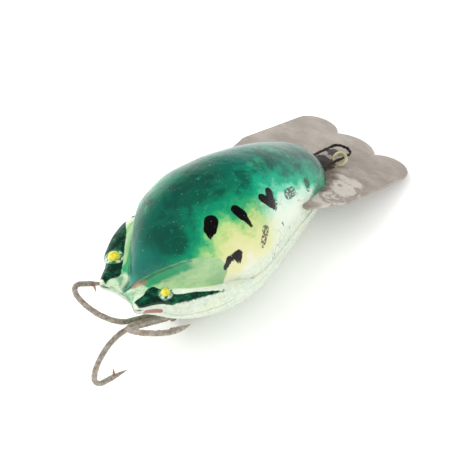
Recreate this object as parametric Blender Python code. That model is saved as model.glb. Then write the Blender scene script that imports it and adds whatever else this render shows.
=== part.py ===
"""Crayfish-shaped deep-diving fishing lure: two hollow body shells, a stamped metal lip,
a wire line tie with a brass ring, and a treble hook on a ring under the belly.

Everything is designed in millimetres in the body's own frame: x runs forward from the claws
to the lip, y to the lure's left, z up, and z = 0 is the seam between the two shells.
The body frame is pitched nose-down, so that belly pad, lip edge and hook rest on z = 0.
"""
import math

import bmesh
import bpy
from mathutils import Vector

MM = 0.001

# Driving dimensions, in millimetres and degrees
BODY_PITCH = 7.2
SEAM_HEIGHT = 12.5
ORIGIN_SHIFT = 0.05
GAP = 0.3
WALL = 1.8
STATION_STEP = 3.2
TAIL_X = -33.7
NOSE_X = 28.0
NOTCH_RADIUS = 5.2
NOTCH_DEPTH = 1.7
DOME_POWER = 2.1
PAD_HEIGHT = 0.0
# The hollow in each shell: back, front, station spacing, middle, half length to its rounded ends
UPPER_CAVITY = (-11.5, 23.0, 4.4, 5.75, 17.6)
LOWER_CAVITY = (-11.5, 7.5, 3.8, -2.0, 9.8)
KEEL_WALL = 2.4
# Cutting shapes reach this far past the body to the side, and past the nose
CUT_HALF_WIDTH = 25.0
CUT_PAST_NOSE = 3.0

LIP_FRONT_X = 47.7
LIP_FRONT_Z = -6.1
LIP_PITCH = 16.0
LIP_THICKNESS = 0.8
LIP_HALF_WIDTH = 16.2
LIP_SIDE_END = 26.0
LIP_SHOULDER = (37.4, 12.8)
TONGUE_HALF_WIDTH = 7.0
TONGUE_END = 41.0
LOBE_RADIUS = 5.45
CUSP_Y = 5.8
WEDGE_BACK_X = 10.4

BAIL_WIRE = 0.32
BAIL_RISE = 0.95
BAIL_LEFT_Y = 0.4
BAIL_RIGHT_Y = -4.4
BAIL_FRONT_X = 37.8
BAIL_BACK_X = 22.5
TIE_RING_RADIUS = 1.45
TIE_RING_WIRE = 0.32
TIE_RING_BACK = 0.7

HANGER_X = -14.2
HANGER_LOOP_RADIUS = 1.5
HANGER_WIRE = 0.42
HANGER_LOOP_Z = -12.3
HANGER_HOLE_RADIUS = 0.9
HANGER_RECESS_RADIUS = 2.2
HANGER_RECESS_TOP = -10.2
HOOK_RING_RADIUS = 3.1
HOOK_RING_WIRE = 0.4
HOOK_RING_Z = -12.5
HOOK_RING_YAW = 45.0

HOOK_WIRE = 0.6
HOOK_LENGTH = 24.0
HOOK_BEND_RADIUS = 8.0
POINT_BEND_RADIUS = 3.9
BEND_CHANGE = 96
POINT_TURN = 194
HOOK_EYE_RADIUS = 1.4
HOOK_SHANK_OFFSET = 0.95
HOOK_EYE_Z = -12.42
HOOK_PITCH = 31.2
HOOK_YAW = 5.4
LEFT_HOOK_ANGLE = 16.0
RIGHT_HOOK_ANGLE = 156.0
LOWER_HOOK_ANGLE = 270.0
POINT_LENGTH = 7.6

EYE_X = -27.0
EYE_Y = 7.7
EYE_SEAT = 1.9
EYE_RADIUS = 1.45
EYE_PIN_RADIUS = 0.7
EYE_HEAD_BASE = 1.1

BALLAST_PLACE = (-1.5, 0, -6.4)
BALLAST_HALF_LENGTH = 5.5
BALLAST_RADIUS = 2.4
BALLAST_EDGE = 0.5

SCREW_X = 15.5
SCREW_Y = 4.0
SCREW_RADIUS = 0.9
SCREW_HEAD_RADIUS = 1.8

# Stations along x: how the body's outline and height change from claws to nose
OUTLINE = ((-34.4, 6.0), (-31, 8.4), (-26.5, 11.4), (-21.5, 14.1), (-17, 15.6), (-12, 16.3),
           (-7, 16.3), (0, 15.1), (7, 13.3), (14, 11.7), (20, 10.1), (25, 7.5), (28, 2.6))
DOME_WIDTH = ((-34.4, 0.2), (-30.4, 0.5), (-27.5, 3.4), (-24.5, 7.0), (-19.3, 12.0),
              (-13.5, 14.8), (-9, 15.8), (-7, 16.0), (0, 14.8), (7, 13.0), (14, 11.4),
              (20, 9.8), (25, 7.2), (28, 2.3))
DOME_HEIGHT = ((-34.4, 2.1), (-30.4, 2.6), (-27.5, 6.6), (-24.5, 9.8), (-19.3, 13.4),
               (-13, 15.7), (-6, 16.6), (1, 16.3), (8, 14.7), (14, 12.4), (20, 9.3),
               (25, 6.2), (28, 1.7))
RIM_ANGLE = ((-34.4, 60), (-30.4, 58), (-27.5, 48), (-24.5, 46), (-21.5, 45), (-19.3, 42),
             (-16.5, 36), (-13.5, 25), (-11, 10), (-9, 5), (28, 5))
RIDGE_HEIGHT = ((-34.4, 3.0), (-24, 3.2), (-18, 2.6), (-12, 1.4), (-8, 0.7), (20, 0.3), (28, 0.1))
RIDGE_WIDTH = ((-34.4, 2.6), (-31, 3.6), (-27, 4.0), (-22, 2.6), (-17, 1.6), (-11, 0.6),
               (-8, 0.2), (28, 0.1))
BELLY_DEPTH = ((-34.4, -0.6), (-30, 2.6), (-24, 6.6), (-16.3, 9.9), (-10, 12.2), (-3, 13.3),
               (4, 12.7), (12, 10.8), (20, 7.6), (25, 4.5), (28, 1.6))
BELLY_POWER = ((-34.4, 2.3), (-24, 2.4), (-12, 2.3), (0, 2.15), (28, 2.1))
TAIL_LIFT = ((-34.4, 1.6), (-30, 1.1), (-24, 0.2), (-20, 0.0), (28, 0.0))


def at(stations, x):
    """Smooth value at x through hand-set stations, without overshoot between them."""
    count = len(stations)
    slopes = []
    for i in range(count - 1):
        (x0, v0), (x1, v1) = stations[i], stations[i + 1]
        slopes.append((v1 - v0) / (x1 - x0))
    tangents = [slopes[0]]
    for before, after in zip(slopes, slopes[1:]):
        same_way = before * after > 0.0
        tangents.append(2.0 * before * after / (before + after) if same_way else 0.0)
    tangents.append(slopes[-1])
    x = min(max(x, stations[0][0]), stations[-1][0])
    i = 0
    while i < count - 2 and x > stations[i + 1][0]:
        i += 1
    (x0, v0), (x1, v1) = stations[i], stations[i + 1]
    span = x1 - x0
    t = (x - x0) / span
    return (v0 * (1 + 2 * t) * (1 - t) ** 2 + v1 * t * t * (3 - 2 * t)
            + tangents[i] * span * t * (1 - t) ** 2 - tangents[i + 1] * span * t * t * (1 - t))


def oval_point(width, height, angle, power):
    """Point of a superellipse at an angle in degrees: 0 is the side, 90 the top."""
    c = math.cos(math.radians(angle))
    s = math.sin(math.radians(angle))
    return width * abs(c) ** (2 / power), height * abs(s) ** (2 / power)


def dome_half_section(x):
    """Right-hand half of the upper shell's section at x, from the seam up to the crest."""
    width = at(OUTLINE, x)
    ridge = at(RIDGE_HEIGHT, x)
    shelf = min(at(RIDGE_WIDTH, x), 0.8 * width)
    rim_angle = at(RIM_ANGLE, x)
    rim_y, rim_z = oval_point(at(DOME_WIDTH, x), at(DOME_HEIGHT, x), rim_angle, DOME_POWER)
    base = at(TAIL_LIFT, x)
    points = [(width, base), (width - 0.1 * ridge, 0.45 * base + 0.55 * ridge),
              (width - 0.25 * ridge, ridge)]
    inner_y = max(width - 0.25 * ridge - shelf, rim_y + 0.05)
    points.append((inner_y, ridge + 0.15 * shelf))
    for i in range(1, 6):
        t = i / 6
        y = inner_y + (rim_y - inner_y) * t
        sag = 4.0 * t * (1 - t) * min(0.7, 0.3 * abs(inner_y - rim_y))
        points.append((y - 0.6 * sag, ridge + 0.15 * shelf * (1 - t) + (rim_z - ridge) * t ** 1.5 - sag))
    dome_steps = 8
    for i in range(dome_steps + 1):
        angle = rim_angle + (90.0 - rim_angle) * i / dome_steps
        points.append(oval_point(at(DOME_WIDTH, x), at(DOME_HEIGHT, x), angle, DOME_POWER))
    points[-1] = (0.0, points[-1][1])
    return points


def mirror_section(x, half):
    """Closed section from a half: up the right side, over the crest, down the left."""
    right = [(x, -y, z) for y, z in half]
    left = [(x, y, z) for y, z in reversed(half[:-1])]
    return right + left


def stations(start, end, step):
    count = max(2, round((end - start) / step))
    return [start + (end - start) * i / count for i in range(count + 1)]


def belly_half_section(x):
    """Right-hand half of the lower shell's section at x, from the seam down to the keel."""
    steps = 9
    width = at(OUTLINE, x)
    base = at(TAIL_LIFT, x)
    depth = at(BELLY_DEPTH, x) + base
    half = []
    for i in range(steps + 1):
        y, z = oval_point(width, depth, 90.0 * i / steps, at(BELLY_POWER, x))
        half.append((y, base - z))
    half[0] = (width, base)
    half[-1] = (0.0, half[-1][1])
    return half


# Mesh builders, all in millimetres of the body frame

def mesh_object(name, vertices, faces, parent=None):
    mesh = bpy.data.meshes.new(name)
    mesh.from_pydata([Vector(v) * MM for v in vertices], [], faces)
    bm = bmesh.new()
    bm.from_mesh(mesh)
    bmesh.ops.recalc_face_normals(bm, faces=bm.faces)
    bm.to_mesh(mesh)
    bm.free()
    obj = bpy.data.objects.new(name, mesh)
    bpy.context.scene.collection.objects.link(obj)
    obj.parent = parent
    return obj


def loft(name, sections, parent=None):
    """Closed solid through sections that all have the same number of points."""
    count = len(sections[0])
    vertices = [point for section in sections for point in section]
    faces = []
    for s in range(len(sections) - 1):
        for i in range(count):
            j = (i + 1) % count
            a, b = s * count, (s + 1) * count
            faces.append((a + i, a + j, b + j, b + i))
    faces.append(tuple(range(count)))
    last = (len(sections) - 1) * count
    faces.append(tuple(last + i for i in reversed(range(count))))
    return mesh_object(name, vertices, faces, parent)


def tube(name, path, radius, sides, parent=None, closed=False, radii=None):
    """Round wire along a path, with a rotation-free frame; ends are capped."""
    points = [Vector(p) for p in path]
    count = len(points)
    tangents = []
    for i in range(count):
        before = points[(i - 1) % count] if closed or i > 0 else points[i]
        after = points[(i + 1) % count] if closed or i < count - 1 else points[i]
        tangents.append((after - before).normalized())
    helper = Vector((0, 0, 1)) if abs(tangents[0].z) < 0.9 else Vector((0, 1, 0))
    normal = tangents[0].cross(helper).normalized()
    vertices = []
    for i in range(count):
        normal = (normal - tangents[i] * normal.dot(tangents[i])).normalized()
        binormal = tangents[i].cross(normal)
        r = radii[i] if radii else radius
        for k in range(sides):
            angle = 2 * math.pi * k / sides
            vertices.append(points[i] + r * (math.cos(angle) * normal + math.sin(angle) * binormal))
    faces = []
    for i in range(count if closed else count - 1):
        a, b = i * sides, ((i + 1) % count) * sides
        for k in range(sides):
            m = (k + 1) % sides
            faces.append((a + k, a + m, b + m, b + k))
    if not closed:
        faces.append(tuple(range(sides)))
        faces.append(tuple((count - 1) * sides + k for k in reversed(range(sides))))
    return mesh_object(name, vertices, faces, parent)


def turned(name, profile, segments, parent=None):
    """Solid of revolution about z from (radius, height) points, both ends on the axis."""
    vertices = [(0, 0, profile[0][1])]
    for r, z in profile[1:-1]:
        for k in range(segments):
            angle = 2 * math.pi * k / segments
            vertices.append((r * math.cos(angle), r * math.sin(angle), z))
    vertices.append((0, 0, profile[-1][1]))
    faces = []
    rings = len(profile) - 2
    last = len(vertices) - 1
    for k in range(segments):
        m = (k + 1) % segments
        faces.append((0, 1 + m, 1 + k))
        top = 1 + (rings - 1) * segments
        faces.append((last, top + k, top + m))
        for ring in range(rings - 1):
            a = 1 + ring * segments
            b = a + segments
            faces.append((a + k, a + m, b + m, b + k))
    return mesh_object(name, vertices, faces, parent)


def prism(name, outline, z_low, z_high, parent=None):
    """Flat plate with an outline in x and y, standing between two heights."""
    count = len(outline)
    vertices = [(x, y, z_low) for x, y in outline] + [(x, y, z_high) for x, y in outline]
    faces = [tuple(reversed(range(count))), tuple(count + i for i in range(count))]
    for i in range(count):
        j = (i + 1) % count
        faces.append((i, j, count + j, count + i))
    return mesh_object(name, vertices, faces, parent)


def side_prism(name, outline, half_width, parent=None):
    """Solid with an outline in x and z, as wide as given on both sides of the centre."""
    count = len(outline)
    vertices = [(x, -half_width, z) for x, z in outline]
    vertices += [(x, half_width, z) for x, z in outline]
    faces = [tuple(range(count)), tuple(count + i for i in reversed(range(count)))]
    for i in range(count):
        j = (i + 1) % count
        faces.append((i, j, count + j, count + i))
    return mesh_object(name, vertices, faces, parent)


def as_cutter(obj):
    obj.hide_render = True
    obj.display_type = "WIRE"
    return obj


def combine(obj, other, operation):
    modifier = obj.modifiers.new(other.name, "BOOLEAN")
    modifier.object = as_cutter(other)
    modifier.operation = operation
    modifier.solver = "EXACT"


def empty(name, location, parent=None, rotation=(0, 0, 0)):
    obj = bpy.data.objects.new(name, None)
    bpy.context.scene.collection.objects.link(obj)
    obj.parent = parent
    obj.location = Vector(location) * MM
    obj.rotation_euler = [math.radians(a) for a in rotation]
    return obj


def smooth(obj, angle=35.0):
    obj.data.shade_smooth()
    obj.data.set_sharp_from_angle(angle=math.radians(angle))


def paint(obj, name, color, roughness, metallic=0.0):
    material = bpy.data.materials.get(name) or bpy.data.materials.new(name)
    material.use_nodes = True
    shader = material.node_tree.nodes["Principled BSDF"]
    shader.inputs["Base Color"].default_value = (*color, 1.0)
    shader.inputs["Roughness"].default_value = roughness
    shader.inputs["Metallic"].default_value = metallic
    obj.data.materials.clear()
    obj.data.materials.append(material)


# Sub-parts

def lip_surface_z(x):
    """Height of the lip's middle plane above the seam at a place along the body."""
    return LIP_FRONT_Z + (LIP_FRONT_X - x) * math.tan(math.radians(LIP_PITCH))


def wedge_outline(offset, back):
    """Side outline of everything under the lip plane, shifted by an offset, from back to nose."""
    front = NOSE_X + CUT_PAST_NOSE
    return [(back, -3.0), (front, -3.0), (front, lip_surface_z(front) + offset),
            (back, lip_surface_z(back) + offset)]


def tail_notch(name, body):
    """Upright cylinder that cuts the shallow notch between the two claw tips."""
    reach = 9.0
    notch = turned(name, ((0, -reach), (NOTCH_RADIUS, -reach), (NOTCH_RADIUS, reach), (0, reach)), 24, body)
    notch.location = Vector((TAIL_X + NOTCH_DEPTH - NOTCH_RADIUS, 0, 0)) * MM
    return notch


def build_upper_shell(body):
    outer = [mirror_section(x, dome_half_section(x)) for x in stations(TAIL_X, NOSE_X, STATION_STEP)]
    shell = loft("body_upper_shell", outer, body)
    cavity_sections = []
    back, front, step, middle, half_length = UPPER_CAVITY
    for x in stations(back, front, step):
        end = math.sqrt(max(0.02, 1 - ((x - middle) / half_length) ** 2))
        width = (at(OUTLINE, x) - WALL) * end ** 0.5
        height = (at(DOME_HEIGHT, x) - WALL) * end ** 0.5
        half = [oval_point(width, height, 90.0 * i / 6, DOME_POWER) for i in range(7)]
        half[0] = (width, -1.0)
        half[-1] = (0.0, height)
        cavity_sections.append(mirror_section(x, half))
    combine(shell, loft("cavity_upper", cavity_sections, body), "DIFFERENCE")
    wedge = wedge_outline(LIP_THICKNESS / 2 + GAP, WEDGE_BACK_X - GAP)
    combine(shell, side_prism("wedge_space", wedge, CUT_HALF_WIDTH, body), "DIFFERENCE")
    for side in (-1, 1):
        shoulder = EYE_HEAD_BASE - GAP
        pin = turned(f"eye_hole_{side}", ((0, -1.6), (EYE_PIN_RADIUS + GAP, -1.6),
                                         (EYE_PIN_RADIUS + GAP, shoulder),
                                         (EYE_RADIUS + GAP, shoulder),
                                         (EYE_RADIUS + GAP, 4.0), (0, 4.0)), 18, body)
        pin.location = Vector((EYE_X, side * EYE_Y, EYE_SEAT)) * MM
        combine(shell, pin, "DIFFERENCE")
    combine(shell, tail_notch("tail_notch_upper", body), "DIFFERENCE")
    smooth(shell)
    paint(shell, "frog_green_enamel", (0.01, 0.19, 0.10), 0.25)
    return shell


def build_lower_shell(body):
    outer = []
    for x in stations(TAIL_X, NOSE_X, STATION_STEP):
        section = mirror_section(x, belly_half_section(x))
        outer.append([(px, py, pz - GAP) for px, py, pz in section])
    shell = loft("body_lower_shell", outer, body)

    wedge_body = []
    for x in stations(WEDGE_BACK_X, NOSE_X, STATION_STEP):
        half = dome_half_section(x)
        half[0] = (half[0][0], -GAP - 0.2)
        wedge_body.append(mirror_section(x, half))
    wedge = loft("nose_wedge", wedge_body, body)
    keep = wedge_outline(-LIP_THICKNESS / 2 - GAP, WEDGE_BACK_X - 2.0)
    combine(wedge, side_prism("nose_wedge_keep", keep, CUT_HALF_WIDTH, body), "INTERSECT")
    combine(shell, wedge, "UNION")
    front = NOSE_X + CUT_PAST_NOSE
    under = -LIP_THICKNESS / 2 - GAP
    above_lip = [(x, lip_surface_z(x) + lift) for x, lift in
                 ((WEDGE_BACK_X, under), (front, under), (front, 4.0), (WEDGE_BACK_X, 4.0))]
    combine(shell, side_prism("lip_space", above_lip, CUT_HALF_WIDTH, body), "DIFFERENCE")

    cavity_sections = []
    back, front, step, middle, half_length = LOWER_CAVITY
    for x in stations(back, front, step):
        end = math.sqrt(max(0.05, 1 - ((x - middle) / half_length) ** 2))
        width = (at(OUTLINE, x) - WALL) * end ** 0.5
        depth = (at(BELLY_DEPTH, x) - KEEL_WALL) * end ** 0.5
        half = [oval_point(width, depth, 90.0 * i / 6, at(BELLY_POWER, x)) for i in range(7)]
        half = [(y, -z) for y, z in half]
        half[0] = (width, 1.0)
        half[-1] = (0.0, -depth)
        cavity_sections.append(mirror_section(x, half))
    combine(shell, loft("cavity_lower", cavity_sections, body), "DIFFERENCE")

    combine(shell, tail_notch("tail_notch_lower", body), "DIFFERENCE")
    wide, top, narrow = HANGER_RECESS_RADIUS, HANGER_RECESS_TOP, HANGER_HOLE_RADIUS
    hanger_hole = turned("hanger_hole", ((0, -14), (wide, -14), (wide, top), (narrow, top),
                                         (narrow, -3.0), (0, -3.0)), 20, body)
    hanger_hole.location = Vector((HANGER_X, 0, 0)) * MM
    combine(shell, hanger_hole, "DIFFERENCE")
    for side in (-1, 1):
        combine(shell, screw_hole(f"screw_hole_{side}", side, body), "DIFFERENCE")
    floor = prism("pad_cut", ((-60, -40), (60, -40), (60, 40), (-60, 40)), -20.0, PAD_HEIGHT)
    combine(shell, floor, "DIFFERENCE")
    smooth(shell)
    paint(shell, "mint_white_enamel", (0.72, 0.80, 0.70), 0.25)
    return shell


def screw_hole(name, side, body):
    """Room for a lip screw: its head from below, its shank through the wedge."""
    top = lip_surface_z(SCREW_X) - 1.0
    hole = turned(name, ((0, -12.0), (SCREW_HEAD_RADIUS + GAP, -12.0),
                         (SCREW_HEAD_RADIUS + GAP, top - 4.0), (SCREW_RADIUS + GAP, top - 4.0),
                         (SCREW_RADIUS + GAP, 8.0), (0, 8.0)), 14, body)
    hole.location = Vector((SCREW_X, side * SCREW_Y, 0)) * MM
    return hole


def build_lip_screw(side, body):
    name = "lip_screw_left" if side > 0 else "lip_screw_right"
    seat = lip_surface_z(SCREW_X) - 5.0 + GAP
    head = SCREW_HEAD_RADIUS
    profile = ((0, seat - 1.6), (0.7 * head, seat - 1.6), (head, seat - 1.0), (head, seat - 0.3),
               (SCREW_RADIUS, seat - 0.3), (SCREW_RADIUS, seat + 7.4), (0.3, seat + 8.6),
               (0, seat + 8.6))
    screw = turned(name, profile, 14, body)
    screw.location = Vector((SCREW_X, side * SCREW_Y, 0)) * MM
    smooth(screw)
    paint(screw, "plated_screw", (0.45, 0.43, 0.38), 0.4, 1.0)
    return screw


def arc(cx, cy, radius, start, end, steps):
    """Points on a circle from one angle to another, in degrees."""
    points = []
    for i in range(steps + 1):
        angle = math.radians(start + (end - start) * i / steps)
        points.append((cx + radius * math.cos(angle), cy + radius * math.sin(angle)))
    return points


def lip_outline():
    """Right-hand then left-hand edge of the lip, with three scalloped lobes at the front."""
    lobe_x, lobe_y = -LOBE_RADIUS, LIP_HALF_WIDTH - LOBE_RADIUS
    dip = math.asin((lobe_y - CUSP_Y) / LOBE_RADIUS)
    cusp_x = lobe_x + LOBE_RADIUS * math.cos(dip)
    mid_radius = (CUSP_Y ** 2 + cusp_x ** 2) / (2 * abs(cusp_x))
    spread = math.degrees(math.asin(CUSP_Y / mid_radius))
    left = arc(-mid_radius, 0, mid_radius, 0, spread, 5)
    left += arc(lobe_x, lobe_y, LOBE_RADIUS, -math.degrees(dip), 90, 10)[1:]
    left += [(-LIP_SIDE_END, LIP_HALF_WIDTH), (-LIP_SHOULDER[0], LIP_SHOULDER[1]),
             (-LIP_SHOULDER[0] - 0.6, TONGUE_HALF_WIDTH), (-TONGUE_END, TONGUE_HALF_WIDTH)]
    right = [(x, -y) for x, y in reversed(left[1:])]
    return right + left


def build_lip(body):
    axis = empty("lip_axis", (LIP_FRONT_X, 0, LIP_FRONT_Z), body, (0, LIP_PITCH, 0))
    lip = prism("diving_lip", lip_outline(), -LIP_THICKNESS / 2, LIP_THICKNESS / 2, axis)
    for side in (-1, 1):
        hole = turned(f"lip_screw_space_{side}", ((0, -6), (SCREW_RADIUS + GAP, -6),
                                                 (SCREW_RADIUS + GAP, 6), (0, 6)), 14, body)
        hole.location = Vector((SCREW_X, side * SCREW_Y, lip_surface_z(SCREW_X))) * MM
        combine(lip, hole, "DIFFERENCE")
    smooth(lip, 30)
    paint(lip, "weathered_lip_metal", (0.36, 0.33, 0.29), 0.5, 0.8)
    return axis


def bail_path(back_x):
    """Centre line of the line-tie wire in the lip's frame: out of the nose, round, and back."""
    def up(x):
        return LIP_THICKNESS / 2 + BAIL_RISE + 0.06 * (x - back)
    back = (back_x - LIP_FRONT_X) / math.cos(math.radians(LIP_PITCH))
    front = (BAIL_FRONT_X - LIP_FRONT_X) / math.cos(math.radians(LIP_PITCH))
    half = (BAIL_LEFT_Y - BAIL_RIGHT_Y) / 2
    middle = (BAIL_LEFT_Y + BAIL_RIGHT_Y) / 2
    bend_x = front - half
    flat = [(back + (bend_x - back) * i / 6, BAIL_RIGHT_Y) for i in range(6)]
    flat += arc(bend_x, middle, half, -90, 90, 12)
    flat += [(bend_x - (bend_x - back) * i / 6, BAIL_LEFT_Y) for i in range(1, 7)]
    return [(x, y, up(x)) for x, y in flat]


def build_line_tie(body, lip_axis, upper_shell):
    path = bail_path(BAIL_BACK_X)
    bail = tube("line_tie_bail", path, BAIL_WIRE, 8, lip_axis)
    smooth(bail)
    paint(bail, "blackened_wire", (0.03, 0.025, 0.02), 0.6, 0.6)
    room = tube("bail_space", bail_path(BAIL_BACK_X - 1.2), BAIL_WIRE + GAP, 8, lip_axis)
    combine(upper_shell, room, "DIFFERENCE")

    wire_x, wire_y, wire_z = path[5]
    pivot = empty("line_tie_pivot", (wire_x - TIE_RING_BACK, wire_y, wire_z), lip_axis)
    ring_path = []
    for i in range(24):
        angle = 2 * math.pi * i / 24
        ring_path.append((0, TIE_RING_RADIUS * math.cos(angle), TIE_RING_RADIUS * math.sin(angle)))
    ring = tube("line_tie_ring", ring_path, TIE_RING_WIRE, 8, pivot, closed=True)
    ring.rotation_euler = (0, math.radians(38), math.radians(35))
    ring.location = Vector((0, -0.12, 0.2)) * MM
    smooth(ring)
    paint(ring, "old_brass", (0.62, 0.55, 0.32), 0.35, 1.0)
    return ring


def build_eye(side, body):
    name = "eye_left" if side > 0 else "eye_right"
    r = EYE_RADIUS
    pin = EYE_PIN_RADIUS
    rim = EYE_HEAD_BASE + 0.8
    profile = [(0, -1.0), (pin, -1.0), (pin, EYE_HEAD_BASE), (r, EYE_HEAD_BASE), (r, rim)]
    profile += [(r * math.cos(math.radians(a)), rim + math.sin(math.radians(a))) for a in (30, 60)]
    profile += [(0, rim + 1.0)]
    eye = turned(name, profile, 18, body)
    eye.location = Vector((EYE_X, side * EYE_Y, EYE_SEAT)) * MM
    smooth(eye)
    paint(eye, "yellow_eye_enamel", (0.80, 0.66, 0.08), 0.25)
    return eye


def build_ballast(body):
    """Lead slug lying on the floor of the lower shell."""
    end, edge, r = BALLAST_HALF_LENGTH, BALLAST_EDGE, BALLAST_RADIUS
    profile = ((0, -end), (r - edge, -end), (r, edge - end), (r, end - edge), (r - edge, end), (0, end))
    slug = turned("ballast_weight", profile, 16, body)
    slug.rotation_euler = (0, math.radians(90), 0)
    slug.location = Vector(BALLAST_PLACE) * MM
    smooth(slug)
    paint(slug, "lead", (0.20, 0.20, 0.21), 0.6, 0.8)
    return slug


def build_hanger(body):
    """Screw eye in the belly: an open wire loop that holds the ring, and a shank up into the body."""
    r = HANGER_LOOP_RADIUS
    path = [(0, 0, z) for z in (-4.0, -6.0, -8.0, HANGER_LOOP_Z + r + 0.8)]
    for i in range(1, 19):
        angle = math.radians(98 - 17.0 * i)
        path.append((r * math.cos(angle), 0, HANGER_LOOP_Z + r * math.sin(angle)))
    hanger = tube("hook_hanger", path, HANGER_WIRE, 10, body)
    hanger.location = Vector((HANGER_X, 0, 0)) * MM
    hanger.rotation_euler = (0, 0, math.radians(HOOK_RING_YAW))
    smooth(hanger)
    paint(hanger, "tarnished_steel", (0.22, 0.20, 0.17), 0.55, 0.9)


def build_hook_ring(body):
    pivot = empty("hook_ring_pivot", (HANGER_X, 0, HOOK_RING_Z), body, (0, 0, HOOK_RING_YAW))
    ring_path = []
    for i in range(28):
        angle = 2 * math.pi * i / 28
        ring_path.append((HOOK_RING_RADIUS * math.cos(angle) - HOOK_RING_RADIUS,
                          HOOK_RING_RADIUS * math.sin(angle), 0))
    ring = tube("hook_ring", ring_path, HOOK_RING_WIRE, 8, pivot, closed=True)
    smooth(ring)
    paint(ring, "tarnished_steel", (0.22, 0.20, 0.17), 0.55, 0.9)


def hook_curve(angle):
    """One hook of the treble in the treble's frame: shank along -x, bend and point outward."""
    out = Vector((0, math.cos(math.radians(angle)), math.sin(math.radians(angle))))
    wide, tight = HOOK_BEND_RADIUS, POINT_BEND_RADIUS
    shank_end = -(HOOK_LENGTH - wide)
    turns = list(range(0, BEND_CHANGE, 12)) + list(range(BEND_CHANGE, POINT_TURN + 1, 14))
    change = math.radians(BEND_CHANGE)
    points = []
    for turn in turns:
        a = math.radians(turn)
        if turn < BEND_CHANGE:
            points.append((-wide * math.sin(a), wide - wide * math.cos(a)))
        else:
            centre_x = -(wide - tight) * math.sin(change)
            centre_d = wide - (wide - tight) * math.cos(change)
            points.append((centre_x - tight * math.sin(a), centre_d - tight * math.cos(a)))
    return [Vector((shank_end + x, 0, 0)) + out * (HOOK_SHANK_OFFSET + d) for x, d in points], out


def hook_wire(angle, start_x):
    """Whole wire of one hook, from the shank's start to the sharp point, and its radii."""
    bend, out = hook_curve(angle)
    shank = [Vector((start_x + (bend[0].x - start_x) * i / 3, 0, 0)) + out * HOOK_SHANK_OFFSET
             for i in range(3)]
    heading = (bend[-1] - bend[-2]).normalized()
    spear = [bend[-1] + heading * (POINT_LENGTH * i / 5) for i in range(1, 6)]
    path = shank + bend + spear
    radii = [HOOK_WIRE] * (len(path) - 3) + [0.8 * HOOK_WIRE, 0.5 * HOOK_WIRE, 0.12]
    return path, radii


def barb(name, angle, parent):
    """Small raised sliver on the inner side of a hook's point."""
    path, _ = hook_wire(angle, 0.0)
    root = path[-4]
    out = Vector((0, math.cos(math.radians(angle)), math.sin(math.radians(angle))))
    start = root + Vector((0.6, 0, 0))
    end = root + Vector((-0.7, 0, 0)) - out * 1.15
    return tube(name, [start, start.lerp(end, 0.5), end], 0.3, 6, parent, radii=[0.36, 0.26, 0.08])


def build_treble(body):
    yaw = math.radians(HOOK_RING_YAW)
    eye_point = (HANGER_X - HOOK_RING_RADIUS * (1 + math.cos(yaw)), -HOOK_RING_RADIUS * math.sin(yaw),
                 HOOK_EYE_Z)
    axis = empty("treble_axis", eye_point, body, (0, HOOK_PITCH, HOOK_YAW))
    lower, radii = hook_wire(LOWER_HOOK_ANGLE, -HOOK_EYE_RADIUS - 1.3)
    eye_loop = []
    for i in range(16):
        angle = math.radians(200 - 20.0 * i)
        eye_loop.append(Vector((HOOK_EYE_RADIUS * math.cos(angle), 0,
                                HOOK_EYE_RADIUS * math.sin(angle))))
    eyed = tube("treble_eyed_hook", eye_loop[::-1] + lower, HOOK_WIRE, 8, axis,
                radii=[HOOK_WIRE] * len(eye_loop) + radii)
    combine(eyed, barb("barb_lower", LOWER_HOOK_ANGLE, axis), "UNION")

    left, left_radii = hook_wire(LEFT_HOOK_ANGLE, -HOOK_EYE_RADIUS - 2.2)
    right, right_radii = hook_wire(RIGHT_HOOK_ANGLE, -HOOK_EYE_RADIUS - 2.2)
    double = tube("treble_double_hook", left[::-1] + right, HOOK_WIRE, 8, axis,
                  radii=left_radii[::-1] + right_radii)
    combine(double, barb("barb_left", LEFT_HOOK_ANGLE, axis), "UNION")
    combine(double, barb("barb_right", RIGHT_HOOK_ANGLE, axis), "UNION")
    for hook in (eyed, double):
        smooth(hook)
        paint(hook, "rusty_hook_wire", (0.24, 0.20, 0.16), 0.65, 0.8)


def main():
    for obj in list(bpy.data.objects):
        bpy.data.objects.remove(obj, do_unlink=True)
    body = empty("body_axis", (ORIGIN_SHIFT, 0, SEAM_HEIGHT), None, (0, BODY_PITCH, 0))
    upper = build_upper_shell(body)
    build_lower_shell(body)
    lip_axis = build_lip(body)
    build_line_tie(body, lip_axis, upper)
    for side in (-1, 1):
        build_lip_screw(side, body)
        build_eye(side, body)
    build_ballast(body)
    build_hanger(body)
    build_hook_ring(body)
    build_treble(body)


main()
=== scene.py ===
"""Looks of the crayfish-shaped diving lure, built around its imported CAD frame.

Shapes are designed in millimetres in the body's own frame: x runs forward from the claws to
the lip, y to the lure's left, z up, and z = 0 is the seam between the two body shells.
"""
import math

import bmesh
import bpy
from mathutils import Euler, Matrix, Vector
from mathutils.noise import noise


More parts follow.
